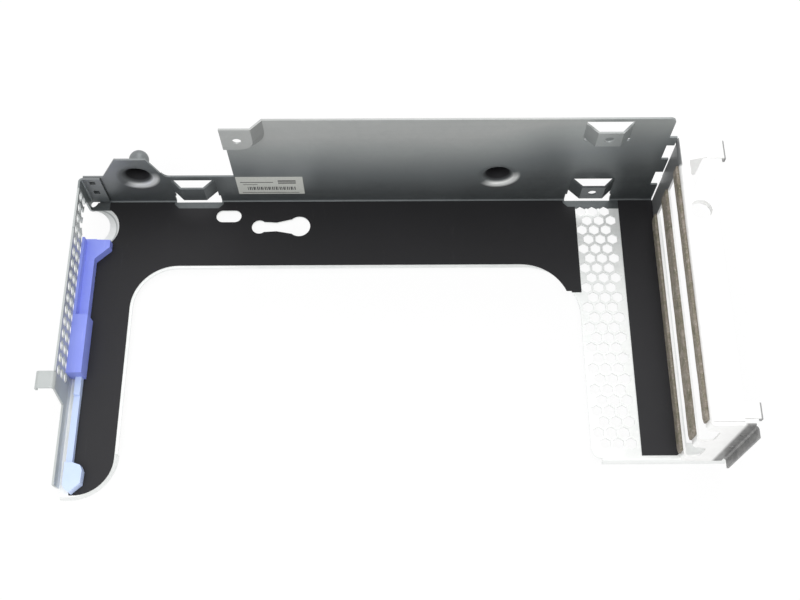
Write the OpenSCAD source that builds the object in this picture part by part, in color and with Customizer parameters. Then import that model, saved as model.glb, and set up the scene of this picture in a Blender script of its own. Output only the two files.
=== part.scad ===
// Riser cage bracket: a folded cage sheet with a slot panel, insulating film,
// conductive foam strips and a plastic card guide. It lies on its deck.
// x runs along the rear wall from the left wall's outer face, y = 0 is the rear
// wall's inner face with the deck in front of it (negative y), z = 0 is the deck's top.

/* [Sheet] */
// Thickness of both metal sheets
sheet_t = 0.8; // [0.6:0.1:1.2]
// Inside radius of every bend
bend_r = 0.8; // [0.4:0.1:1.4]

/* [Deck] */
// Outer face of the left wall to the inner face of the slot panel
cage_w = 239.2; // [195:1:300]
// Depth of the deck's rear band
band_d = 31.9; // [26:0.5:45]
// Width of the left arm
left_arm_w = 22.2; // [18.5:0.1:30]
// Reach of the left arm in front of the rear wall
left_arm_d = 128.4; // [107:1:160]
// Width of the right arm, up to the slot panel
right_arm_w = 34; // [30:0.5:45]
// Reach of the right arm in front of the rear wall
right_arm_d = 115.2; // [96:1:140]
// Corner radius between the rear band and the left arm
left_inside_r = 17.6; // [8:0.2:22]
// Corner radius between the rear band and the right arm
right_inside_r = 22; // [8:0.5:26]
// Radius of the left arm's rounded front end
left_front_r = 17.4; // [8:0.2:18]
// Corner radius at the right arm's front
right_front_r = 4; // [2:0.5:8]
// Depth of the turned-down front lips, from the deck's top
lip_h = 3; // [2.4:0.1:6]

/* [Rear wall] */
// Height of the low wall behind the left arm
low_wall_h = 20; // [16.5:0.5:26]
// Height of the tall wall
tall_wall_h = 61.7; // [51:0.5:76]
// Left edge of the tall wall
tall_wall_x = 63.6; // [58:0.5:80]
// Offset of the bridges and the corner pad from the wall
bridge_d = 4.2; // [3:0.1:5.2]
// Width of a bridge's opening at the wall
bridge_w = 18; // [15:0.5:22]
// Height of a bridge's strap
bridge_h = 9.2; // [8:0.1:10]
// Diameter of the holes in the bridges and the pad
stud_hole_d = 3.6; // [3:0.1:4.4]
// Left bridge, centre from the left wall
left_bridge_x = 46.2; // [42:0.5:52]
// Right bridges, centre from the slot panel
right_bridge_in = 27.8; // [24:0.5:34]

/* [Drawn bosses] */
// Left boss, centre from the left wall
left_boss_x = 24; // [22:0.5:28]
// Right boss, centre from the slot panel
right_boss_in = 67.4; // [50:1:90]
// Height of both bosses' centres
boss_z = 20; // [17:0.5:24]
// Radius of the cavity
boss_r = 3.3; // [2.5:0.1:4]
// Radius of the bell mouth's curve
boss_mouth_r = 5.3; // [3:0.1:6]
// Depth of the cavity, to the bottom of its round end
boss_d = 11.5; // [9:0.5:16]

/* [Left wall] */
// Length of the high part of the left wall
left_wall_d = 90.8; // [76:1:105]
// Height of the low front part
left_wall_low_h = 5.8; // [4:0.2:9]
// Diameter of the wall's vent holes
vent_d = 3.9; // [2.5:0.1:4.1]
// Distance between vent holes along the wall
vent_pitch = 5.02; // [4.8:0.02:6.5]
// Distance between vent rows
vent_row = 4.5; // [4.4:0.05:5]

/* [Deck openings] */
// Radius of the finger hole at the left wall
finger_r = 8.2; // [6:0.1:9]
// Centre of the finger hole, in front of the rear wall
finger_y = 12.9; // [11:0.1:16]
// Width across the flats of the hexagonal vent holes
hex_w = 4.1; // [2.5:0.1:4.3]
// Distance between hexagonal holes in a row
hex_pitch = 5; // [4.8:0.05:6]
// Width of the bare vented strip beside the side film
vent_strip_w = 17.9; // [16:0.1:22]

/* [Slot panel] */
// Number of card openings
slot_count = 2; // [2:1:3]
// Height of a card opening
slot_h = 12.5; // [10:0.1:14]
// Distance between card openings
slot_pitch = 20.3; // [18:0.1:25]
// Land below the first opening
low_land_h = 5.9; // [4.9:0.1:8]
// Land above the last opening
top_land_h = 7.3; // [6.6:0.1:10]
// Reach of the panel, to the front face of its ledge
panel_d = 114.8; // [96:1:138]
// Width of the front ledge
ledge_w = 17.2; // [16.5:0.1:22]
// Width of the top flange
flange_w = 11.9; // [11.4:0.1:16]
// Diameter of the ledge's screw holes
screw_hole_d = 2.3; // [1.8:0.1:3]

/* [Films and foam] */
// Thickness of the insulating films
film_t = 0.25; // [0.15:0.05:0.5]
// Bare metal margin between the film and the deck's cut-out
film_margin = 1.2; // [0.6:0.1:2]
// Thickness of the foam strips
foam_t = 1.2; // [0.6:0.1:2]

/* [Card guide] */
// Reach of the card guide in front of the rear wall
guide_d = 80.5; // [67:0.5:90]
// Height of the guide's front section
guide_h = 8.3; // [7:0.1:10]
// Height of the guide's rear section
guide_low_h = 4.3; // [3.5:0.1:5.5]
// Width of the front rail
rail_w = 2.4; // [1.8:0.1:3]

/* [Hidden] */
$fn = 48;

// Overlap that makes a cut run clear of a face
cut = 1;
// Outside radius of a bend
bend_out = bend_r + sheet_t;
// Clearance between two folds that lie side by side
fold_gap = 0.2;

// Left wall
wall_end_gap = 3.9;
step_run = 2.2;
vent_first_y = 7.2;
vent_rows = 3;
vent_low_z = 7.6;
vent_margin = 5;
vent_count = floor((left_wall_d - vent_first_y - vent_margin) / vent_pitch) + 1;
finger_x = 1.1;
finger_wall_h = 10.5;
finger_wall_r = 4;
return_w = 8.6;
return_base_z = 1;
return_hole = [2.4, 2.6];
return_hole_x = 4.9;
return_hole_z = [9.5, 17];
left_hook_d = 6.8;
left_hook_reach = 6.9;
left_hook_tip = 3;
relief_r = 2.2;

// Rear wall
wall_left_x = 1.6;
lobe_h = 13.5;
lobe_left = 14.2;
lobe_top_left = 6.6;
lobe_top_right = 6;
lobe_right = 10.8;
lobe_r = 3;
wall_right_in = 3.3;
shoulder_gap = 2.5;
tall_wall_r = 2.5;
notch_above_slot = 6.3;
notch_h = 10.4;
notch_w = 3;
pilot_d = 2;
pilot_drop = 14.3;
pilot_in = [19.2, 35.3];

// Bridges and corner pad: straps stand off the wall on legs at 45 degrees
leg_back = sheet_t * tan(22.5);
low_bridge_z = low_wall_h - 7.3;
top_bridge_z = tall_wall_h - 7.9;
top_slit_h = 1.5;
bridge_relief_w = 19.3;
bridge_relief_d = 3;
bridge_relief_cut = 2;
bridge_relief_h = 4.5;
pad_x = tall_wall_x + 6;
pad_drop = tall_wall_h - top_bridge_z;
pad_flat_r = 6;

// Deck openings
obround = [59.2, 7.7, 10.6, 5.6];
key_small = [72.3, 12.8, 3.15];
key_big = [89.1, 12.6, 4.65];
key_neck_w = 4.2;
key_neck_x = 79.6;
hex_row = 4.435;
hex_first_y = 5.8;
hex_first_in = 30.8;
hex_shift = 2.4;
hex_per_row = 3;
hex_front_margin = 6;
hex_rows = floor((right_arm_d - hex_first_y - hex_front_margin) / hex_row) + 1;

// Slot panel
panel_h = low_land_h + slot_pitch * (slot_count - 1) + slot_h + top_land_h;
slot_rear_y = 10.5;
slot_turn = 5.6;
ledge_hole_in = 2.8;
ledge_hole_z = [slot_z(0) + slot_h + 0.5, slot_z(1) + 0.6 * slot_h];
end_flange_d = 3.8;
end_flange_z = 3;
end_flange_drop = 2.6;
deck_past_panel = 3;
shelf_w = 17.7;
shelf_d = 7.6;
shoulder_z = panel_h + shoulder_gap;
rear_flange_w = 13.4;
rear_flange_z = 20;
hook_reach = 17;
hook_tip = 3.6;
rear_hook_y = [7.3, -0.4];
front_hook_y = [112.2, 106.4];
window_x = [4, 12];
window_y = [8.3, 22.5];
collar_x = 6.2;
collar_y = 30;
collar_r = 4.2;
collar_h = 3;
panel_tab_w = 6;
panel_tab_y = [22, 60, 98];
panel_tab_gap = 0.15;

// Films and foam
side_film_w = 14.6;
side_film_end = 2.6;
film_left_x = 5.1;
film_rear_y = bend_r;
film_front_r = 14.5;
film_hole_gap = 0.8;
film_finger_x = 2.9;
film_finger_r = 10.3;
flare_r = 20;
flare_in = 57.6;
flare_end_y = 43.6;
flare_step = [4, 0.6];
foam_ends = [10, 112];
foam_edge = 0.5;

// Card guide
guide_rear_y = 20.3;
guide_w = 4.8;
guide_front_w = 6;
guide_front_y = 55.7;
guide_leg_w = 1;
guide_head_w = 10.5;
rail_x = 3.4;
rail_h = 3.4;
rail_step_y = 88;
rail_low_h = 2.6;
knob_rear_gap = 13.2;
knob_front_gap = 1.4;

// Overall extents, for the origin at the middle of the base
x_min = -left_hook_reach;
x_max = cage_w + max(hook_reach + bend_out, shelf_w, ledge_w);
y_min = -max(left_arm_d, right_arm_d, panel_d + end_flange_d);
y_max = boss_d + sheet_t;
z_min = -lip_h;

// Puts the datum corner so that the origin is the middle of the bounding box's base
module place() {
    translate([-(x_min + x_max) / 2, -(y_min + y_max) / 2, -z_min])
        children();
}

// ---- Plane shapes ----

// Turns a shape drawn in the first quadrant into the quadrant that dir points to
module facing(dir) {
    mirror([dir[0] < 0 ? 1 : 0, 0])
        mirror([0, dir[1] < 0 ? 1 : 0])
            children();
}

// Corner piece: fills an inside corner to radius r, or cuts an outside one
module corner(at, r, dir) {
    translate(at)
        facing(dir)
            difference() {
                translate([-0.01, -0.01])
                    square(r + 0.01);
                translate([r, r])
                    circle(r);
            }
}

// Quarter ring of a bend, seen along its axis, in the corner that dir points to
module bend(at, dir) {
    translate(at)
        intersection() {
            difference() {
                circle(bend_out);
                circle(bend_r);
            }
            facing(dir)
                square(bend_out + cut);
        }
}

// Rectangle between two corners, in any order
module span(a, b) {
    translate([min(a[0], b[0]), min(a[1], b[1])])
        square([abs(a[0] - b[0]), abs(a[1] - b[1])]);
}

// Bar with round ends, between two points
module slot_shape(a, b, d) {
    run = b - a;
    translate(a) {
        circle(d / 2);
        rotate(atan2(run[1], run[0]))
            translate([0, -d / 2])
                square([norm(run), d]);
    }
    translate(b)
        circle(d / 2);
}

// ---- Turned solids ----

// Plate on the wall's plane: its outline is drawn in x and z, its thickness is y0 to y1
module upright(y0, y1) {
    translate([0, y1, 0])
        rotate([90, 0, 0])
            linear_extrude(y1 - y0)
                children();
}

// Plate on a side wall's plane: its outline is drawn in y and z, its thickness is x0 to x1
module sideways(x0, x1) {
    translate([x0, 0, 0])
        rotate([90, 0, 90])
            linear_extrude(x1 - x0)
                children();
}

// Plate that lies flat: its outline is drawn in x and y, its thickness is z0 to z1
module flat(z0, z1) {
    translate([0, 0, z0])
        linear_extrude(z1 - z0)
            children();
}

// Round hole along y through a wall
module hole_y(x, z, d, depth = 30) {
    translate([x, depth / 2, z])
        rotate([90, 0, 0])
            cylinder(h = depth, d = d);
}

// ---- Cage frame: one folded sheet ----

// Outline of the deck, between the bend lines
module deck_outline() {
    arm_x = cage_w - right_arm_w;
    difference() {
        union() {
            span([bend_out, -bend_r], [cage_w + deck_past_panel, -band_d]);
            span([bend_out, -bend_r], [left_arm_w, -left_arm_d + bend_out]);
            span([arm_x, -bend_r], [cage_w + deck_past_panel, -right_arm_d + bend_out]);
            span([cage_w, -right_arm_d + shelf_d], [cage_w + shelf_w, -right_arm_d + bend_out]);
            corner([left_arm_w, -band_d], left_inside_r, [1, -1]);
            corner([arm_x, -band_d], right_inside_r, [-1, -1]);
        }
        translate([left_arm_w - left_front_r, -left_arm_d + left_front_r])
            difference() {
                translate([0, -left_front_r - cut])
                    square(left_front_r + cut);
                circle(left_front_r - bend_out);
                translate([-cut, -left_front_r])
                    square([cut, bend_out]);
            }
        corner([arm_x, -right_arm_d + bend_out], right_front_r, [1, 1]);
    }
}

// Lip of the left arm: follows the rounded end, then turns down
module left_lip() {
    centre = [left_arm_w - left_front_r, -left_arm_d + left_front_r, 0];
    translate(centre)
        rotate([0, 0, -90])
            rotate_extrude(angle = 90)
                lip_section(left_front_r);
    translate([bend_out, centre[1], 0])
        rotate([90, 0, 90])
            linear_extrude(centre[0] - bend_out)
                mirror([1, 0])
                    lip_section(left_front_r);
}

// Section of a turned-down lip whose outer face is at distance reach
module lip_section(reach) {
    bend([reach - bend_out, -bend_out], [1, 1]);
    span([reach - sheet_t, -bend_out], [reach, -lip_h]);
}

// Straight lip of the right arm and of its shelf
module right_lip() {
    x0 = cage_w - right_arm_w + right_front_r;
    translate([x0, 0, 0])
        rotate([90, 0, 90])
            linear_extrude(cage_w + shelf_w - x0)
                mirror([1, 0])
                    lip_section(right_arm_d);
}

// Keyhole: a small round end, a neck and a large round end
module keyhole() {
    translate([key_small[0], -key_small[1]])
        circle(key_small[2]);
    translate([key_big[0], -key_big[1]])
        circle(key_big[2]);
    neck = key_neck_w / 2;
    small_end = 0.8 * key_small[2];
    big_end = 0.8 * key_big[2];
    big_x = key_big[0] - 0.4 * key_big[2];
    polygon([
        [key_small[0], -key_small[1] - small_end],
        [key_neck_x, -key_small[1] - neck],
        [big_x, -key_big[1] - big_end],
        [big_x, -key_big[1] + big_end],
        [key_neck_x, -key_small[1] + neck],
        [key_small[0], -key_small[1] + small_end]
    ]);
}

// Obround hole near the keyhole
module obround_hole() {
    half = (obround[2] - obround[3]) / 2;
    slot_shape([obround[0] - half, -obround[1]], [obround[0] + half, -obround[1]], obround[3]);
}

// Relief under a bridge, in the deck: a notch with cut corners
module bridge_relief(x, gap = 0) {
    half = bridge_relief_w / 2 + gap;
    depth = bridge_relief_d + gap;
    polygon([
        [x - half, cut],
        [x - half, -depth + bridge_relief_cut],
        [x - half + bridge_relief_cut, -depth],
        [x + half - bridge_relief_cut, -depth],
        [x + half, -depth + bridge_relief_cut],
        [x + half, cut]
    ]);
}

// Hexagonal vent holes of the right arm, in offset rows
module hex_vents() {
    for (row = [0 : hex_rows - 1], k = [0 : hex_per_row - 1])
        translate([
            cage_w - hex_first_in + k * hex_pitch + (row % 2) * hex_shift,
            -hex_first_y - row * hex_row
        ])
            rotate(30)
                circle(d = hex_w / cos(30), $fn = 6);
}

// Deck with its openings
module deck() {
    flat(-sheet_t, 0)
        difference() {
            deck_outline();
            obround_hole();
            keyhole();
            hex_vents();
            for (y = panel_tab_y)
                span(
                    [cage_w - panel_tab_gap, -y - panel_tab_w / 2 - panel_tab_gap],
                    [cage_w + sheet_t + panel_tab_gap, -y + panel_tab_w / 2 + panel_tab_gap]
                );
        }
}

// Outline of the rear wall above its bend, in x and z
module rear_wall_outline() {
    right_x = cage_w - fold_gap;
    tall_right = cage_w - wall_right_in;
    lobe_z = boss_z + lobe_h;
    x0 = left_boss_x;
    difference() {
        union() {
            span([wall_left_x, bend_r], [right_x, low_wall_h]);
            span([tall_wall_x, bend_r], [tall_right, tall_wall_h]);
            span([tall_right - cut, bend_r], [right_x, shoulder_z]);
            polygon([
                [x0 - lobe_left, low_wall_h - cut],
                [x0 - lobe_left, low_wall_h],
                [x0 - lobe_top_left, lobe_z],
                [x0 + lobe_top_right, lobe_z],
                [x0 + lobe_right, low_wall_h],
                [x0 + lobe_right, low_wall_h - cut]
            ]);
            corner([x0 + lobe_right - 0.4, low_wall_h], lobe_r, [1, 1]);
        }
        corner([tall_right, tall_wall_h], tall_wall_r, [-1, -1]);
        for (k = [0 : slot_count - 1])
            span(
                [right_x - notch_w, slot_z(k) + notch_above_slot],
                [right_x + cut, slot_z(k) + notch_above_slot + notch_h]
            );
    }
}

// Bottom of card opening k
function slot_z(k) = low_land_h + k * slot_pitch;

// Drawn boss, revolved about its own axis: radius r at depth, from the wall's inner face
module boss_profile(r, mouth, face, tip) {
    mouth_centre = boss_r + boss_mouth_r;
    intersection() {
        translate([0, -cut])
            square([mouth_centre + cut, tip + 2 * cut]);
        union() {
            translate([0, tip - r])
                circle(r);
            span([0, face], [r, tip - r]);
            difference() {
                span([0, face], [mouth_centre, boss_mouth_r]);
                translate([mouth_centre, boss_mouth_r])
                    circle(mouth);
            }
        }
    }
}

// Metal of a boss, with the blank that joins it to the wall
module boss_metal(x) {
    translate([x, 0, boss_z])
        rotate([-90, 0, 0])
            rotate_extrude()
                boss_profile(boss_r + sheet_t, boss_mouth_r - sheet_t, sheet_t, boss_d + sheet_t);
}

// Cavity of a boss with its bell mouth
module boss_cavity(x) {
    translate([x, 0, boss_z])
        rotate([-90, 0, 0])
            rotate_extrude()
                union() {
                    boss_profile(boss_r, boss_mouth_r, 0, boss_d);
                    span([0, -cut], [boss_r + boss_mouth_r, 0]);
                }
}

// Strap of a bridge, seen from above: two legs at 45 degrees and a flat middle
module bridge_section(x) {
    half = bridge_w / 2;
    flat_half = half - bridge_d;
    polygon([
        [x - half - cut, 0],
        [x - half, 0],
        [x - flat_half, -bridge_d],
        [x + flat_half, -bridge_d],
        [x + half, 0],
        [x + half + cut, 0],
        [x + half + cut, sheet_t],
        [x + half - leg_back, sheet_t],
        [x + flat_half - leg_back, -bridge_d + sheet_t],
        [x - flat_half + leg_back, -bridge_d + sheet_t],
        [x - half + leg_back, sheet_t],
        [x - half - cut, sheet_t]
    ]);
}

// Strap of a bridge centred at x and z, with its stud hole where it has one
module bridge(x, z, drilled) {
    difference() {
        flat(z - bridge_h / 2, z + bridge_h / 2)
            bridge_section(x);
        if (drilled)
            hole_y(x, z, stud_hole_d);
    }
}

// Opening behind a bridge in the wall, from z0 to z1
module bridge_window(x, z0, z1) {
    upright(-cut, sheet_t + cut)
        span([x - bridge_w / 2, z0], [x + bridge_w / 2, z1]);
}

// Relief of a low bridge: through the bend and into the deck
module low_bridge_relief(x) {
    flat(-sheet_t - cut, bend_out)
        bridge_relief(x);
    upright(-cut, sheet_t + cut)
        span([x - bridge_relief_w / 2, 0], [x + bridge_relief_w / 2, bridge_relief_h]);
}

// Form of the corner pad: a quarter cone carried on to the wall's left and top edges.
// Its flat stands at y_front and its sides run back at 45 degrees over rise.
module pad_form(flat_r, y_front, rise, run_out = 0) {
    y_back = y_front + rise;
    base_r = flat_r + rise;
    z = tall_wall_h - pad_drop;
    left_x = tall_wall_x - run_out;
    top_z = tall_wall_h + run_out;
    translate([pad_x, y_back, z])
        rotate([90, 0, 0])
            rotate([0, 0, -90])
                rotate_extrude(angle = 90)
                    polygon([[0, 0], [base_r, 0], [flat_r, rise], [0, rise]]);
    sideways(left_x, pad_x)
        polygon([[y_back, z], [y_back, z - base_r], [y_front, z - flat_r], [y_front, z]]);
    flat(z, top_z)
        polygon([
            [pad_x, y_back],
            [pad_x + base_r, y_back],
            [pad_x + flat_r, y_front],
            [pad_x, y_front]
        ]);
    upright(y_front, y_back)
        span([left_x, z], [pad_x, top_z]);
}

// Rear wall with its pad, bridges and bosses
module rear_wall() {
    left_x = left_bridge_x;
    right_x = cage_w - right_bridge_in;
    bosses = [left_boss_x, cage_w - right_boss_in];
    difference() {
        union() {
            upright(0, sheet_t)
                rear_wall_outline();
            pad_form(pad_flat_r, -bridge_d, bridge_d + sheet_t / 2);
            for (x = bosses)
                boss_metal(x);
        }
        for (x = bosses)
            boss_cavity(x);
        pad_form(pad_flat_r - leg_back, -bridge_d + sheet_t, bridge_d, cut);
        hole_y(pad_x, tall_wall_h - pad_drop, stud_hole_d);
        bridge_window(left_x, 0, low_bridge_z + bridge_h / 2);
        bridge_window(right_x, 0, low_bridge_z + bridge_h / 2);
        bridge_window(right_x, top_bridge_z - bridge_h / 2, top_bridge_z + bridge_h / 2 + top_slit_h);
        for (x = [left_x, right_x])
            low_bridge_relief(x);
        for (dx = pilot_in)
            hole_y(cage_w - dx, tall_wall_h - pilot_drop, pilot_d);
    }
    bridge(left_x, low_bridge_z, false);
    bridge(right_x, low_bridge_z, true);
    bridge(right_x, top_bridge_z, true);
}

// Bend between the deck and the rear wall
module rear_bend() {
    difference() {
        sideways(bend_out + relief_r, cage_w - fold_gap)
            bend([-bend_r, bend_r], [1, -1]);
        for (x = [left_bridge_x, cage_w - right_bridge_in])
            low_bridge_relief(x);
    }
}

// Outline of the left wall above its bend, in y and z
module left_wall_outline() {
    low_end = -left_arm_d + wall_end_gap;
    step_y = -left_wall_d - step_run;
    polygon([
        [-bend_out - fold_gap, bend_r],
        [-bend_out - fold_gap, low_wall_h],
        [-left_wall_d + left_hook_d, low_wall_h],
        [-left_wall_d + left_hook_d, low_wall_h - bend_out],
        [-left_wall_d, low_wall_h - bend_out],
        [step_y, left_wall_low_h],
        [low_end, left_wall_low_h],
        [low_end, bend_r]
    ]);
}

// Vent holes of the left wall
module wall_vents() {
    for (row = [0 : vent_rows - 1], k = [0 : vent_count - 1])
        translate([-vent_first_y - k * vent_pitch, vent_low_z + row * vent_row])
            circle(d = vent_d);
}

// Finger hole: through the deck, the bend and the foot of the left wall
module finger_hole() {
    translate([finger_x, -finger_y, -sheet_t - cut])
        cylinder(h = bend_out + sheet_t + cut, r = finger_r);
    half = sqrt(finger_r * finger_r - finger_x * finger_x);
    sideways(-cut, bend_out)
        difference() {
            span([-finger_y - half, 0], [-finger_y + half, finger_wall_h]);
            corner([-finger_y - half, finger_wall_h], finger_wall_r, [1, -1]);
            corner([-finger_y + half, finger_wall_h], finger_wall_r, [-1, -1]);
        }
}

// Left wall with its bend to the deck
module left_wall() {
    sideways(0, sheet_t)
        difference() {
            left_wall_outline();
            wall_vents();
        }
    translate([0, -left_arm_d + wall_end_gap, 0])
        rotate([-90, 0, 0])
            linear_extrude(left_arm_d - wall_end_gap - bend_out - fold_gap)
                mirror([0, 1])
                    bend([bend_out, bend_r], [-1, -1]);
}

// Flange that returns from the left wall in front of the rear wall
module return_flange() {
    y0 = -fold_gap - sheet_t;
    difference() {
        union() {
            flat(return_base_z, low_wall_h)
                bend([bend_out, y0 - bend_r], [-1, 1]);
            upright(y0, -fold_gap)
                span([bend_out, return_base_z], [return_w, low_wall_h]);
        }
        for (z = return_hole_z)
            upright(y0 - cut, cut)
                translate([return_hole_x, z])
                    square(return_hole, center = true);
    }
}

// Hook of the left wall: folds outward from the top edge, with its tip turned down
module left_hook() {
    y0 = -left_wall_d;
    y1 = -left_wall_d + left_hook_d;
    translate([0, y1, 0])
        rotate([90, 0, 0])
            linear_extrude(left_hook_d) {
                bend([-bend_r, low_wall_h - bend_out], [1, 1]);
                span(
                    [-bend_r, low_wall_h - sheet_t],
                    [-left_hook_reach + bend_out, low_wall_h]
                );
                bend([-left_hook_reach + bend_out, low_wall_h - bend_out], [-1, 1]);
                span(
                    [-left_hook_reach, low_wall_h - left_hook_tip],
                    [-left_hook_reach + sheet_t, low_wall_h - bend_out]
                );
            }
}

// Round relief where the deck, the left wall and the rear wall meet
module corner_relief() {
    translate([0, 0, -sheet_t - cut])
        cylinder(h = bend_out + sheet_t + cut, r = relief_r + 1);
}

module cage_frame() {
    color("silver")
        place() {
            difference() {
                union() {
                    deck();
                    left_wall();
                }
                finger_hole();
                corner_relief();
            }
            rear_bend();
            rear_wall();
            return_flange();
            left_hook();
            left_lip();
            right_lip();
        }
}

// ---- Slot panel: the second folded sheet ----

// Outline of the panel between its bends, in y and z
module panel_outline() {
    difference() {
        union() {
            span([-panel_d + bend_out, 0], [-bend_r, panel_h - bend_out]);
            for (y = panel_tab_y)
                span([-y - panel_tab_w / 2, -sheet_t], [-y + panel_tab_w / 2, cut]);
        }
        for (k = [0 : slot_count - 1])
            difference() {
                span([-panel_d, slot_z(k)], [-slot_rear_y, slot_z(k) + slot_h]);
                corner([-slot_rear_y, slot_z(k)], 1, [-1, 1]);
                corner([-slot_rear_y, slot_z(k) + slot_h], 1, [-1, -1]);
            }
    }
}

// Ledge at the front: a bend, then a plate that faces forward, with the openings' ends
module ledge() {
    x0 = cage_w + bend_out;
    x1 = cage_w + ledge_w;
    difference() {
        union() {
            flat(0, panel_h)
                bend([x0, -panel_d + bend_out], [-1, -1]);
            upright(-panel_d, -panel_d + sheet_t)
                span([x0, 0], [x1 - bend_out, panel_h]);
            flat(end_flange_z, panel_h - end_flange_drop) {
                bend([x1 - bend_out, -panel_d - bend_r], [1, 1]);
                span(
                    [x1 - sheet_t, -panel_d - bend_r],
                    [x1, -panel_d - end_flange_d]
                );
            }
        }
        for (k = [0 : slot_count - 1])
            upright(-panel_d - cut, -panel_d + bend_out + cut)
                difference() {
                    span([cage_w - cut, slot_z(k)], [cage_w + slot_turn, slot_z(k) + slot_h]);
                    corner([cage_w + slot_turn, slot_z(k)], 3, [-1, 1]);
                    corner([cage_w + slot_turn, slot_z(k) + slot_h], 3, [-1, -1]);
                }
        for (z = ledge_hole_z)
            translate([x1 - ledge_hole_in, -panel_d + sheet_t + cut, z])
                rotate([90, 0, 0])
                    cylinder(h = sheet_t + 2 * cut, d = screw_hole_d);
    }
}

// Outward flange along the panel's top edge, with its window and collared hole
module top_flange() {
    z1 = panel_h;
    difference() {
        union() {
            translate([0, 1.5, 0])
                rotate([90, 0, 0])
                    linear_extrude(panel_d + 1.5 - bend_out)
                        bend([cage_w + bend_out, z1 - bend_out], [-1, 1]);
            flat(z1 - sheet_t, z1)
                difference() {
                    union() {
                        span([cage_w + bend_out, 1.5], [cage_w + flange_w, -panel_d + bend_out]);
                        flange_hook(rear_hook_y);
                        flange_hook(front_hook_y);
                    }
                    polygon([
                        [cage_w + window_x[0], -window_y[0]],
                        [cage_w + window_x[1] - 1, -window_y[0] + 1.3],
                        [cage_w + window_x[0], -window_y[1]]
                    ]);
                }
            translate([cage_w + collar_x, -collar_y, z1 - collar_h])
                cylinder(h = collar_h, r = collar_r + sheet_t * 0.6);
        }
        translate([cage_w + collar_x, -collar_y, z1 - collar_h - cut])
            cylinder(h = collar_h + 2 * cut, r = collar_r);
    }
    for (y = [rear_hook_y, front_hook_y])
        hook_tip_fold(y);
}

// Tab of the top flange that reaches out to a hook
module flange_hook(y) {
    span([cage_w + bend_out, -y[0]], [cage_w + hook_reach, -y[1]]);
}

// Turned-down tip of a hook
module hook_tip_fold(y) {
    x0 = cage_w + hook_reach;
    translate([0, -y[1], 0])
        rotate([90, 0, 0])
            linear_extrude(y[0] - y[1]) {
                bend([x0, panel_h - bend_out], [1, 1]);
                span([x0 + bend_r, panel_h - bend_out], [x0 + bend_out, panel_h - hook_tip]);
            }
}

// Flange that folds outward at the panel's rear edge
module rear_flange() {
    flat(rear_flange_z, panel_h - bend_out)
        bend([cage_w + bend_out, sheet_t - bend_out], [-1, 1]);
    upright(0, sheet_t)
        span([cage_w + bend_out, rear_flange_z], [cage_w + rear_flange_w, panel_h - sheet_t]);
}

module slot_panel() {
    color("gainsboro")
        place() {
            sideways(cage_w, cage_w + sheet_t)
                panel_outline();
            ledge();
            top_flange();
            rear_flange();
        }
}

// ---- Insulating films ----

// Outline of the main film: rear band and left arm, with a flared right end
module main_film_outline() {
    arm_x = left_arm_w - film_margin;
    right_x = cage_w - side_film_w - vent_strip_w - film_margin / 2;
    flare_x = cage_w - flare_in;
    r_in = left_inside_r + film_margin;
    front_y = -left_arm_d + film_margin;
    difference() {
        union() {
            difference() {
                span([film_left_x, -film_rear_y], [right_x, -flare_end_y]);
                span([arm_x, -band_d + film_margin], [flare_x, -flare_end_y - cut]);
                translate([flare_x, -band_d + film_margin - flare_r])
                    circle(flare_r);
                span(
                    [right_x - flare_step[0], -flare_end_y + flare_step[1]],
                    [right_x - flare_step[0] - flare_r, -flare_end_y - cut]
                );
            }
            span([film_left_x, -film_rear_y], [arm_x, front_y]);
            corner([arm_x, -band_d + film_margin], r_in, [1, -1]);
        }
        corner([arm_x, front_y], film_front_r, [-1, 1]);
    }
}

module insulator_main() {
    color([0.17, 0.17, 0.18])
        place()
            flat(0, film_t)
                difference() {
                    main_film_outline();
                    translate([film_finger_x, -finger_y])
                        circle(film_finger_r);
                    span([0, 0], [film_left_x + 3.3, -4]);
                    obround_hole();
                    keyhole();
                    for (x = [left_bridge_x, cage_w - right_bridge_in])
                        bridge_relief(x, film_hole_gap);
                }
}

module insulator_side() {
    x1 = cage_w - 0.1;
    x0 = x1 - side_film_w;
    y1 = -right_arm_d + side_film_end;
    color([0.17, 0.17, 0.18])
        place()
            flat(0, film_t)
                difference() {
                    span([x0, -film_rear_y], [x1, y1]);
                    polygon([[x1 + cut, y1 - cut], [x1 + cut, y1 + 2], [x1 - 2, y1 - cut]]);
                }
}

// ---- Foam strips on the panel's lands ----

module foam_strip(z0, z1) {
    color([0.42, 0.38, 0.33])
        place()
            sideways(cage_w - foam_t, cage_w)
                span([-foam_ends[0], z0], [-foam_ends[1], z1]);
}

module gasket_lower() {
    foam_strip(film_t + 0.1, low_land_h - foam_edge);
}

module gasket_middle() {
    for (k = [1 : 1 : slot_count - 1])
        foam_strip(slot_z(k) - slot_pitch + slot_h, slot_z(k));
}

module gasket_upper() {
    foam_strip(panel_h - top_land_h + foam_edge, panel_h - bend_out - 0.2);
}

// ---- Card guide and rail ----

module card_guide() {
    x0 = sheet_t;
    z0 = film_t;
    color([0.45, 0.52, 0.86])
        place()
            difference() {
                union() {
                    flat(z0, guide_low_h)
                        union() {
                            span([x0, -guide_rear_y], [x0 + guide_w, -guide_front_y]);
                            polygon([
                                [x0, -guide_rear_y],
                                [x0 + guide_head_w, -guide_rear_y - 0.4],
                                [x0 + guide_head_w, -guide_rear_y - 3.7],
                                [x0 + guide_w, -guide_rear_y - 9],
                                [x0, -guide_rear_y - 9]
                            ]);
                        }
                    flat(z0, guide_h)
                        span([x0, -guide_rear_y - 1], [x0 + guide_leg_w, -guide_front_y]);
                    flat(z0, guide_h)
                        span([x0, -guide_front_y], [x0 + guide_front_w, -guide_d]);
                }
                translate([x0, 0, 0])
                    rotate([0, 45, 0])
                        cube([bend_out * 1.1, 300, bend_out * 1.1], center = true);
            }
}

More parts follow.
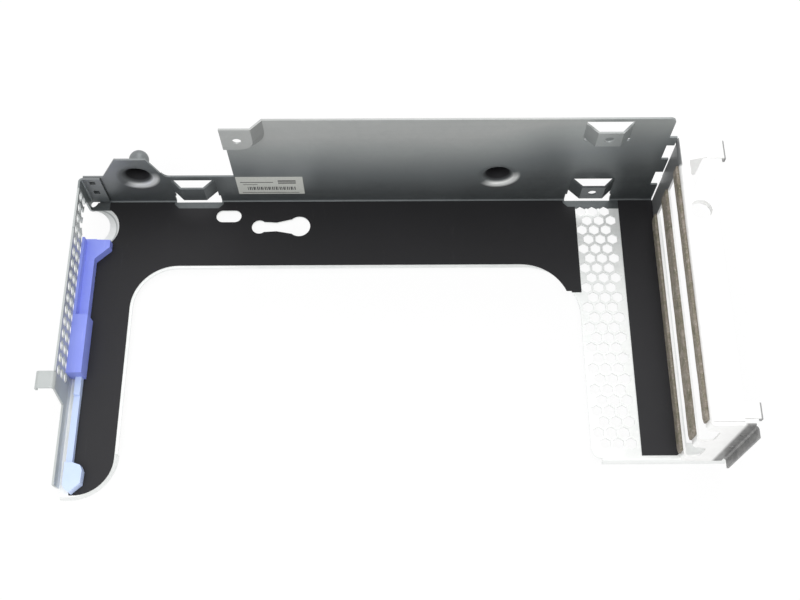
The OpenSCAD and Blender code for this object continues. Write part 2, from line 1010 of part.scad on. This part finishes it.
module guide_rail() {
    x1 = rail_x + rail_w;
    y0 = -guide_d;
    knob_y = -left_arm_d + knob_rear_gap;
    front_y = -left_arm_d + knob_front_gap;
    color([0.62, 0.68, 0.93])
        place() {
            flat(film_t, rail_h)
                span([rail_x, y0], [x1, -rail_step_y]);
            flat(film_t, rail_low_h)
                span([rail_x, -rail_step_y + cut], [x1, knob_y]);
            flat(film_t, guide_low_h)
                polygon([
                    [rail_x, knob_y],
                    [x1 + 0.2, knob_y],
                    [x1 + 3.6, knob_y - 1.2],
                    [x1 + 4.5, knob_y - 3.2],
                    [x1 + 4.3, knob_y - 8.2],
                    [x1 + 0.3, front_y],
                    [rail_x + 1, front_y + 1.4],
                    [rail_x, front_y + 2.9]
                ]);
        }
}

module label() {
    color("white")
        place()
            upright(-0.12, 0)
                span([tall_wall_x + 0.4, 6], [tall_wall_x + 28, low_wall_h - 0.1]);
}

cage_frame();
slot_panel();
insulator_main();
insulator_side();
gasket_lower();
gasket_middle();
gasket_upper();
card_guide();
guide_rail();
label();
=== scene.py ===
import math

import bmesh
import bpy
import mathutils
from mathutils import Euler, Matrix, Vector


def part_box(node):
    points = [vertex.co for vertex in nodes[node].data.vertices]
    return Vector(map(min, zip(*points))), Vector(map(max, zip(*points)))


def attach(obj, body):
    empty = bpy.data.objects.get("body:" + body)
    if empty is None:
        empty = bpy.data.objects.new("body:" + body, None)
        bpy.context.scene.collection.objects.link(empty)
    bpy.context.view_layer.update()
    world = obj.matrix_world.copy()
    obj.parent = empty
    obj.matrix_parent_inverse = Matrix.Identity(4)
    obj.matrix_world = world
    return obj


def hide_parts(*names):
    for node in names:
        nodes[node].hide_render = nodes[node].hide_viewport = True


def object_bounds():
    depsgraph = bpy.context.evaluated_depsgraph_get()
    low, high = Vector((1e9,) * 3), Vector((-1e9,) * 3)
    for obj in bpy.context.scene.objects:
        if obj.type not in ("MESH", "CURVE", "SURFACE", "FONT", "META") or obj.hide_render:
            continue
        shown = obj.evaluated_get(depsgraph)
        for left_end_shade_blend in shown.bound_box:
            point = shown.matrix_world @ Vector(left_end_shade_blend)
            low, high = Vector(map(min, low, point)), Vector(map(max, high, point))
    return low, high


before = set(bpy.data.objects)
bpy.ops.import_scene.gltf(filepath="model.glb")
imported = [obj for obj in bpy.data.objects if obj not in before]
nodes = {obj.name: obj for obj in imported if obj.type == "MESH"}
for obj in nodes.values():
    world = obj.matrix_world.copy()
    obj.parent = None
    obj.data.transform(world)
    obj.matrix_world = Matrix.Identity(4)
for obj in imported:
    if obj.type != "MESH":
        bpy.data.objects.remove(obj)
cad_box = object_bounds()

MM = 0.001

# Places on the cage sheet, in millimetres of the frame.
BRIDGE_FRONT_Y = 53.2  # in front of the rear wall's bridges and pad
WALL_FACE_Y = 58.0  # the rear wall's front face
BOSS_X = (-101.45, 46.35)
BOSS_Z = 23
RING_X = -122.6  # middle of the line around the finger hole
RING_Y = 44.2

# Places on the slot panel.
END_PLATE_X = 125.2
END_PLATE_Y = -55.2
HOOK_TIP_X = 131.2
REAR_FLANGE_Y = 46.8


# ---------------------------------------------------------------- shader graphs

class Graph:
    """A material's node tree, written as nested calls: a value may be a number, a colour or a socket."""

    def __init__(self, name):
        self.material = bpy.data.materials.new(name)
        self.material.use_nodes = True
        self.tree = self.material.node_tree
        self.tree.nodes.clear()
        self.output = self.tree.nodes.new("ShaderNodeOutputMaterial")

    def put(self, socket, value):
        """Links a socket into an input, or sets it to a number or colour."""
        if isinstance(value, bpy.types.NodeSocket):
            self.tree.links.new(value, socket)
        elif isinstance(value, (tuple, list)) and len(value) == 3 and socket.type == "RGBA":
            socket.default_value = (*value, 1)
        else:
            socket.default_value = value

    def add(self, kind, inputs=None, out=0, **settings):
        node = self.tree.nodes.new("ShaderNode" + kind)
        for key, value in settings.items():
            setattr(node, key, value)
        for key, value in (inputs or {}).items():
            self.put(node.inputs[key], value)
        return node.outputs[out]

    def place(self, scale=(1, 1, 1)):
        """Object coordinates, which are the row frame in metres."""
        where = self.add("TexCoord", out="Object")
        return self.add("Mapping", {"Vector": where, "Scale": scale})

    def noise(self, size_mm, detail=3, rough=0.5, stretch=(1, 1, 1), warp=0.0):
        s = 1 / (size_mm * MM)
        at = self.place((s * stretch[0], s * stretch[1], s * stretch[2]))
        settings = {"Vector": at, "Scale": 1, "Detail": detail, "Roughness": rough, "Distortion": warp}
        return self.add("TexNoise", settings, out="Fac")

    def cells(self, size_mm):
        return self.add("TexVoronoi", {"Vector": self.place(), "Scale": 1 / (size_mm * MM)}, out="Color")

    def ramp(self, fac, stops):
        node = self.tree.nodes.new("ShaderNodeValToRGB")
        self.put(node.inputs["Fac"], fac)
        ramp = node.color_ramp
        while len(ramp.elements) < len(stops):
            ramp.elements.new(0.5)
        for element, (position, colour) in zip(ramp.elements, stops):
            element.position = position
            value = colour if isinstance(colour, (tuple, list)) else (colour, colour, colour)
            element.color = (*value, 1)
        return node.outputs["Color"]

    def math(self, operation, a, b=0.0, clamp=False):
        node = self.tree.nodes.new("ShaderNodeMath")
        node.operation = operation
        node.use_clamp = clamp
        self.put(node.inputs[0], a)
        self.put(node.inputs[1], b)
        return node.outputs[0]

    def mix(self, fac, a, b):
        node = self.tree.nodes.new("ShaderNodeMix")
        node.data_type = "RGBA"
        self.put(node.inputs["Factor"], fac)
        self.put(node.inputs["A"], a)
        self.put(node.inputs["B"], b)
        return node.outputs["Result"]

    def axis(self, name):
        """One of the object coordinates, in metres."""
        return self.add("SeparateXYZ", {"Vector": self.add("TexCoord", out="Object")}, out=name)

    def distance(self, across, along):
        """Length of the vector from its two parts."""
        squares = self.math("ADD", self.math("MULTIPLY", across, across), self.math("MULTIPLY", along, along))
        return self.math("SQRT", squares)

    def span(self, value, low, high):
        """0 below low, 1 above high, straight between."""
        settings = {"Value": value, "From Min": low, "From Max": high, "To Min": 0.0, "To Max": 1.0}
        return self.add("MapRange", settings)

    def bump(self, height, strength, distance_mm=0.1, normal=None):
        settings = {"Height": height, "Strength": strength, "Distance": distance_mm * MM}
        if normal is not None:
            settings["Normal"] = normal
        return self.add("Bump", settings)

    def surface(self, **inputs):
        """Principled surface; underscores in the names stand for spaces."""
        values = {key.replace("_", " "): value for key, value in inputs.items()}
        shader = self.add("BsdfPrincipled", values)
        self.tree.links.new(shader, self.output.inputs["Surface"])
        return self.material


def zinc_pattern(g, spangle):
    """The tone from 0 to 1 and the fine relief of a zinc-coated sheet."""
    large = g.add("SeparateColor", {"Color": g.cells(2.6)}, out="Red")
    small = g.add("SeparateColor", {"Color": g.cells(0.9)}, out="Green")
    stain = g.noise(34, detail=4, rough=0.55, warp=0.4)
    streak = g.noise(1.4, detail=3, stretch=(0.05, 1, 1))
    crystals = g.math("ADD", g.math("MULTIPLY", large, spangle), g.math("MULTIPLY", small, 0.5 * spangle))
    soft = g.math("ADD", g.math("MULTIPLY", stain, 0.5), g.math("MULTIPLY", streak, 0.3))
    tone = g.math("ADD", crystals, soft, clamp=True)
    height = g.math("ADD", g.noise(0.5, detail=2), g.math("MULTIPLY", streak, 0.6))
    return tone, height


def cage_sheet():
    """The cage: pale deck and folds, and a rear wall with painted shade that darkens it towards its foot and
    its right end; painted shade and highlights also at the bosses, the left wall and the line round the
    finger hole.
    """
    g = Graph("galvanised_cage")
    tone, height = zinc_pattern(g, 0.12)
    x, y, z = g.axis("X"), g.axis("Y"), g.axis("Z")
    pale = g.ramp(tone, [(0.15, (0.74, 0.76, 0.75)), (0.85, (0.93, 0.94, 0.93))])
    # Painted shade: the rear wall runs from near black at its foot to mid grey at its top, and is darker
    # towards its right end.
    wall_shade_level = g.math("ADD", g.span(z, 4 * MM, 62 * MM), g.math("MULTIPLY", g.noise(46, detail=2), 0.3))
    wall_shade_level = g.math("SUBTRACT", wall_shade_level, g.math("MULTIPLY", g.span(x, 30 * MM, 112 * MM), 0.34))
    wall_shade_level = g.math("SUBTRACT", wall_shade_level, g.math("MULTIPLY", g.span(x, -52 * MM, -66 * MM), 0.06), clamp=True)
    wall_painted_light_and_shade = g.ramp(wall_shade_level, [
        (0.0, (0.040, 0.048, 0.050)), (0.28, (0.085, 0.095, 0.098)),
        (0.55, (0.19, 0.21, 0.215)), (0.85, (0.37, 0.39, 0.385)), (1.0, (0.45, 0.46, 0.45)),
    ])
    wall_painted_light_and_shade = g.mix(g.math("MULTIPLY", tone, 0.5), wall_painted_light_and_shade, (0.24, 0.255, 0.26))
    # Painted light and shade: at the rear wall's left end, from 8 mm up, the shading is pulled towards an
    # even mid grey.
    left_end_shade_blend = g.math("MULTIPLY", g.span(x, -88 * MM, -112 * MM), g.span(z, 8 * MM, 30 * MM))
    wall_painted_light_and_shade = g.mix(g.math("MULTIPLY", left_end_shade_blend, 0.55), wall_painted_light_and_shade, (0.27, 0.275, 0.28))
    boss_shade, boss_highlight = boss_masks(g, x, y, z)
    # Painted highlight on the lower right of each boss mouth, and painted shade inside each boss.
    wall_painted_light_and_shade = g.mix(boss_highlight, wall_painted_light_and_shade, (0.92, 0.93, 0.92))
    wall_painted_light_and_shade = g.mix(boss_shade, wall_painted_light_and_shade, (0.012, 0.012, 0.014))
    # The rear wall, from the bridges back, takes the painted shade; the deck and folds in front keep the pale
    # zinc tone.
    on_wall = g.span(y, BRIDGE_FRONT_Y * MM, (BRIDGE_FRONT_Y + 0.4) * MM)
    # Painted shade: a thin grey line round the finger hole stands for the shading of the pressed step.
    colour = g.mix(on_wall, g.mix(pressed_ring_shade(g, x, y), pale, (0.50, 0.52, 0.52)), wall_painted_light_and_shade)
    # Painted shade: the left wall, from about 5 mm up, is darkened towards mid grey.
    side = g.math("MULTIPLY", g.span(x, -123.9 * MM, -124.4 * MM), g.span(z, 4.2 * MM, 6 * MM))
    colour = g.mix(g.math("MULTIPLY", side, 0.6), colour, (0.24, 0.27, 0.27))
    rough = g.math("ADD", 0.36, g.math("MULTIPLY", tone, 0.14))
    rough = g.math("ADD", rough, g.math("MULTIPLY", boss_shade, 0.3))
    return g.surface(Base_Color=colour, Metallic=0.5, Roughness=rough, Normal=g.bump(height, 0.12, 0.02))


def pressed_ring_shade(g, x, y):
    """Mask for the painted shade of the line pressed around the finger hole in the deck."""
    across = g.math("SUBTRACT", x, RING_X * MM)
    along = g.math("SUBTRACT", y, RING_Y * MM)
    reach = g.distance(across, along)
    return g.math("MULTIPLY", g.span(reach, 9.0 * MM, 9.3 * MM), g.span(reach, 9.9 * MM, 9.6 * MM))


def boss_masks(g, x, y, z):
    """Masks for the two drawn bosses: the painted shade inside each, and the painted highlight on the lower
    right of its mouth.
    """
    normal = g.add("NewGeometry", out="Normal")
    nx, ny, nz = (g.add("SeparateXYZ", {"Vector": normal}, out=k) for k in "XYZ")
    depth = g.span(y, (WALL_FACE_Y - 0.1) * MM, (WALL_FACE_Y + 0.6) * MM)
    dark = boss_highlight = 0.0
    for middle in BOSS_X:
        across = g.math("SUBTRACT", x, middle * MM)
        above = g.math("SUBTRACT", z, BOSS_Z * MM)
        reach = g.distance(across, above)
        outward = g.math("ADD", g.math("MULTIPLY", across, nx), g.math("MULTIPLY", above, nz))
        side = g.math("ADD", ny, g.math("DIVIDE", outward, g.math("MAXIMUM", reach, 0.1 * MM)))
        inner = g.span(side, -0.1, -0.4)
        core = g.math("MULTIPLY", g.span(reach, 6.4 * MM, 4.6 * MM), depth)
        dark = g.math("MAXIMUM", dark, g.math("MULTIPLY", core, inner))
        ring = g.math("MULTIPLY", g.span(reach, 9.4 * MM, 8.0 * MM), g.span(reach, 5.4 * MM, 6.6 * MM))
        low = g.math("SUBTRACT", g.math("MULTIPLY", across, 0.6), above)
        ring = g.math("MULTIPLY", ring, g.span(low, 1.0 * MM, 6.0 * MM))
        boss_highlight = g.math("MAXIMUM", boss_highlight, g.math("MULTIPLY", ring, inner))
    return dark, boss_highlight


def panel_sheet():
    """The slot panel: bright plating, with painted shade and dark reflection on its front end plate, and
    painted shade on its hook tips and rear flange.
    """
    g = Graph("plated_panel")
    tone, height = zinc_pattern(g, 0.14)
    x, y = g.axis("X"), g.axis("Y")
    colour = g.ramp(tone, [(0.15, (0.84, 0.84, 0.83)), (0.85, (0.97, 0.97, 0.96))])
    # Painted shade and dark reflection: the front end plate is made a mottled dark grey.
    at_end = g.span(x, END_PLATE_X * MM, (END_PLATE_X + 1.4) * MM)
    end_plate_shade = g.math("MULTIPLY", at_end, g.span(y, END_PLATE_Y * MM, (END_PLATE_Y - 1.2) * MM))
    end_plate_shade_colour = g.ramp(g.noise(3.2, detail=4), [(0.35, (0.17, 0.17, 0.17)), (0.65, (0.25, 0.25, 0.245))])
    colour = g.mix(end_plate_shade, colour, end_plate_shade_colour)
    # Painted shade: the turned-down hook tips are made dark grey.
    hook_tip_shade = g.span(x, HOOK_TIP_X * MM, (HOOK_TIP_X + 0.6) * MM)
    colour = g.mix(hook_tip_shade, colour, (0.22, 0.22, 0.22))
    # Painted shade: the panel's rear flange, left of x = 114.6 mm, is made near black.
    at_rear = g.span(y, REAR_FLANGE_Y * MM, (REAR_FLANGE_Y + 1.4) * MM)
    rear_flange_shade = g.math("MULTIPLY", at_rear, g.span(x, 115.2 * MM, 114.6 * MM))
    colour = g.mix(g.math("MULTIPLY", rear_flange_shade, 0.85), colour, (0.06, 0.065, 0.07))
    rough = g.math("ADD", 0.34, g.math("MULTIPLY", tone, 0.14))
    return g.surface(Base_Color=colour, Metallic=0.35, Roughness=rough, Normal=g.bump(height, 0.12, 0.02))


def film_black():
    """Matt black film with a fine grain, soft waviness, a few light scuffs and painted shade that darkens it
    towards the rear wall.
    """
    g = Graph("black_film")
    grain = g.noise(0.35, detail=2)
    cloud = g.noise(30, detail=3)
    scuff = g.ramp(g.noise(2.4, detail=5, rough=0.7, stretch=(1, 0.12, 1)), [(0.62, 0.0), (0.8, 1.0)])
    # Painted shade: the film is darker towards the rear wall and lighter towards the front.
    film_shade_fade = g.span(g.axis("Y"), 50 * MM, -20 * MM)
    base = g.mix(film_shade_fade, (0.0115, 0.0115, 0.0125), (0.027, 0.027, 0.029))
    colour = g.mix(g.math("MULTIPLY", cloud, 0.5), base, (0.024, 0.023, 0.026))
    colour = g.mix(g.math("MULTIPLY", scuff, 0.08), colour, (0.12, 0.12, 0.12))
    rough = g.math("ADD", 0.5, g.math("MULTIPLY", grain, 0.14))
    relief = g.bump(cloud, 0.25, 0.4, g.bump(grain, 0.25, 0.02))
    return g.surface(Base_Color=colour, Roughness=rough, Specular_IOR_Level=0.22, Normal=relief)


def foam_fabric():
    """Conductive cloth over foam: woven threads in brown, olive and pale grey."""
    g = Graph("foam_fabric")
    blot = g.noise(3.4, detail=5, rough=0.7, warp=0.6)
    fleck = g.noise(0.8, detail=3, rough=0.7)
    base = g.ramp(blot, [
        (0.28, (0.085, 0.078, 0.055)), (0.44, (0.19, 0.175, 0.125)),
        (0.56, (0.25, 0.215, 0.185)), (0.72, (0.33, 0.31, 0.25)),
    ])
    colour = g.mix(g.ramp(fleck, [(0.56, 0.0), (0.70, 0.8)]), base, (0.50, 0.48, 0.42))
    warp = g.add("TexWave", {"Vector": g.place(), "Scale": 620.0}, out="Fac", bands_direction="Y")
    weft = g.add("TexWave", {"Vector": g.place(), "Scale": 620.0}, out="Fac", bands_direction="Z")
    weave = g.math("ADD", warp, weft)
    relief = g.bump(weave, 0.35, 0.05, g.bump(blot, 0.5, 0.5))
    return g.surface(Base_Color=colour, Roughness=0.78, Metallic=0.1, Normal=relief)


def plastic(name, light, dark):
    """Moulded plastic: slightly uneven tint, fine grain and small scratches along y."""
    g = Graph(name)
    cloud = g.noise(12, detail=3)
    grain = g.noise(0.28, detail=2)
    scratch = g.ramp(g.noise(0.7, detail=3, stretch=(1, 0.05, 1)), [(0.62, 0.0), (0.75, 1.0)])
    colour = g.mix(cloud, dark, light)
    colour = g.mix(g.math("MULTIPLY", scratch, 0.18), colour, (0.72, 0.76, 0.95))
    rough = g.math("ADD", 0.36, g.math("MULTIPLY", grain, 0.14))
    return g.surface(
        Base_Color=colour, Roughness=rough, Subsurface_Weight=0.05, Subsurface_Radius=(0.002, 0.002, 0.004),
        Normal=g.bump(grain, 0.15, 0.02),
    )


def paper(name, low, high):
    g = Graph(name)
    fibre = g.noise(0.25, detail=3)
    colour = g.ramp(fibre, [(0.3, low), (0.7, high)])
    return g.surface(Base_Color=colour, Roughness=0.6, Normal=g.bump(fibre, 0.1, 0.02))


MATERIALS = {
    "cage_frame": cage_sheet(),
    "slot_panel": panel_sheet(),
    "insulator_main": film_black(),
    "foam": foam_fabric(),
    "card_guide": plastic("blue_plastic", (0.29, 0.35, 0.88), (0.22, 0.27, 0.80)),
    "guide_rail": plastic("pale_blue_plastic", (0.60, 0.71, 0.95), (0.50, 0.61, 0.92)),
    "label": paper("label_paper", (0.46, 0.47, 0.44), (0.56, 0.57, 0.53)),
}
MATERIALS["insulator_side"] = MATERIALS["insulator_main"]

for name, obj in nodes.items():
    if not name.startswith("gasket"):
        obj.data.materials.clear()
        obj.data.materials.append(MATERIALS[name])


# ---------------------------------------------------------------- modelled pieces

def node_box(name):
    """The low and high corners of a CAD node in metres."""
    low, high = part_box(name)
    return Vector(low), Vector(high)


def make_piece(name, bm, material, smooth=True):
    mesh = bpy.data.meshes.new(name)
    bm.to_mesh(mesh)
    bm.free()
    for polygon in mesh.polygons:
        polygon.use_smooth = smooth
    mesh.materials.append(material)
    piece = bpy.data.objects.new(name, mesh)
    bpy.context.collection.objects.link(piece)
    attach(piece, "root")
    return piece


def make_gasket(node, seed):
    """A foam strip wrapped in cloth: soft edges, a crowned face, small dents and tucked ends."""
    low, high = node_box(node)
    size = high - low
    along = 120
    ring = gasket_ring(size.x, size.z)
    bm = bmesh.new()
    rows = []
    for i in range(along + 1):
        t = i / along
        y = low.y + size.y * t
        end = min(t, 1 - t) * size.y
        tuck = min(1.0, 0.72 + end / (1.6 * MM) * 0.28)
        row = []
        for u, v in ring:
            at = Vector((u, y, v)) / (9 * MM) + Vector((seed, 0, 0))
            dent = 1 - 0.10 * max(0.0, mathutils.noise.noise(at) + 0.1)
            x = high.x - u * tuck * dent
            z = low.z + size.z / 2 + (v - size.z / 2) * (0.94 + 0.06 * tuck)
            row.append(bm.verts.new((x, y, z)))
        rows.append(row)
    for first, second in zip(rows, rows[1:]):
        for k in range(len(ring)):
            n = (k + 1) % len(ring)
            bm.faces.new((first[k], first[n], second[n], second[k]))
    bm.faces.new(rows[0])
    bm.faces.new(rows[-1][::-1])
    bmesh.ops.recalc_face_normals(bm, faces=bm.faces)
    piece = make_piece(node + "_cloth", bm, MATERIALS["foam"])
    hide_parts(node)


def gasket_ring(depth, height):
    """Section of a strip: depth off the panel and height, with rounded outer corners."""
    r = min(0.45 * MM, 0.45 * depth)
    points = [(0.0, 0.0), (0.0, height)]
    for k in range(5):
        a = math.radians(90 - 22.5 * k)
        points.append((depth - r + r * math.cos(a), height - r + r * math.sin(a)))
    for k in range(1, 6):
        points.append((depth, r + (height - 2 * r) * (1 - k / 6)))
    for k in range(5):
        a = math.radians(-22.5 * k)
        points.append((depth - r + r * math.cos(a), r + r * math.sin(a)))
    return points


def make_label_print():
    """Plain grey bars that stand in for the label's print."""
    low, _ = node_box("label")
    # Left, right, foot and top in millimetres on the label, and how many bars share that width.
    bars = [
        (1.6, 15.2, 9.4, 9.9, 1), (17.2, 24.6, 10.2, 11.2, 1), (17.2, 24.6, 8.6, 9.5, 1),
        (2.6, 8.6, 7.6, 8.0, 1), (1.6, 25.4, 1.0, 1.4, 1), (4.2, 24.4, 3.4, 6.0, 26),
    ]
    bm = bmesh.new()
    y = low.y - 0.02 * MM
    for x0, x1, z0, z1, count in bars:
        step = (x1 - x0) / count
        for k in range(count):
            share = 1.0 if count == 1 else (0.35, 0.6, 0.45, 0.75)[k % 4]
            left = x0 + k * step
            corners = [(left, z0), (left + step * share, z0), (left + step * share, z1), (left, z1)]
            bm.faces.new([bm.verts.new((low.x + a * MM, y, low.z + b * MM)) for a, b in corners])
    ink = paper("label_ink", (0.05, 0.05, 0.05), (0.09, 0.09, 0.09))
    piece = make_piece("label_print", bm, ink, smooth=False)


for seed, name in enumerate(("gasket_lower", "gasket_middle", "gasket_upper")):
    make_gasket(name, 3.7 * seed)
make_label_print()


# ---------------------------------------------------------------- stage

def make_floor():
    size = 6.0
    mesh = bpy.data.meshes.new("floor")
    z = cad_box[0][2] - 0.0002
    corners = [(-size, -size, z), (size, -size, z), (size, size, z), (-size, size, z)]
    mesh.from_pydata(corners, [], [(0, 1, 2, 3)])
    floor = bpy.data.objects.new("floor", mesh)
    bpy.context.collection.objects.link(floor)
    g = Graph("floor_white")
    seen = g.add("LightPath", out="Is Camera Ray")
    seen = g.math("MAXIMUM", seen, g.add("LightPath", out="Is Glossy Ray"))
    seen = g.math("MAXIMUM", seen, g.add("LightPath", out="Is Transmission Ray"))
    diffuse = g.add("BsdfDiffuse", {"Color": (0.9, 0.9, 0.9)})
    glow = g.add("Emission", {"Color": (1, 1, 1), "Strength": 1.0})
    lit = g.add("MixShader", {"Fac": 0.9, 1: diffuse, 2: glow})
    g.tree.links.new(g.add("MixShader", {"Fac": seen, 1: diffuse, 2: lit}), g.output.inputs["Surface"])
    mesh.materials.append(g.material)


def make_light(name, location, size, power):
    """A soft round lamp aimed at the middle of the part."""
    data = bpy.data.lights.new(name, "AREA")
    data.shape = "DISK"
    data.size = size
    data.energy = power
    lamp = bpy.data.objects.new(name, data)
    lamp.location = location
    lamp.rotation_euler = (-Vector(location)).to_track_quat("-Z", "Y").to_euler()
    bpy.context.collection.objects.link(lamp)


def make_world(strength):
    world = bpy.data.worlds.new("studio")
    bpy.context.scene.world = world
    world.use_nodes = True
    tree = world.node_tree
    background = tree.nodes["Background"]
    background.inputs["Color"].default_value = (1, 1, 1, 1)
    path = tree.nodes.new("ShaderNodeLightPath")
    both = tree.nodes.new("ShaderNodeMath")
    both.operation = "MAXIMUM"
    tree.links.new(path.outputs["Is Camera Ray"], both.inputs[0])
    tree.links.new(path.outputs["Is Transmission Ray"], both.inputs[1])
    level = tree.nodes.new("ShaderNodeMapRange")
    level.inputs["To Min"].default_value = strength
    level.inputs["To Max"].default_value = 1.0
    tree.links.new(both.outputs[0], level.inputs["Value"])
    tree.links.new(level.outputs["Result"], background.inputs["Strength"])


make_floor()
make_world(0.95)
make_light("key", (-0.25, -0.35, 1.1), 0.9, 4)
make_light("rear_rim", (0.1, 0.7, 0.8), 0.6, 2)

# ---------------------------------------------------------------- camera

camera_data = bpy.data.cameras.new("camera")
camera_data.lens = 49.16
camera_data.sensor_width = 36
camera = bpy.data.objects.new("camera", camera_data)
camera.location = (0.00515, -0.16825, 0.413)
camera.rotation_euler = Euler((math.radians(90 - 66.34), 0, math.radians(-0.28)))
bpy.context.collection.objects.link(camera)
bpy.context.scene.camera = camera
bpy.context.scene.view_settings.view_transform = "Standard"
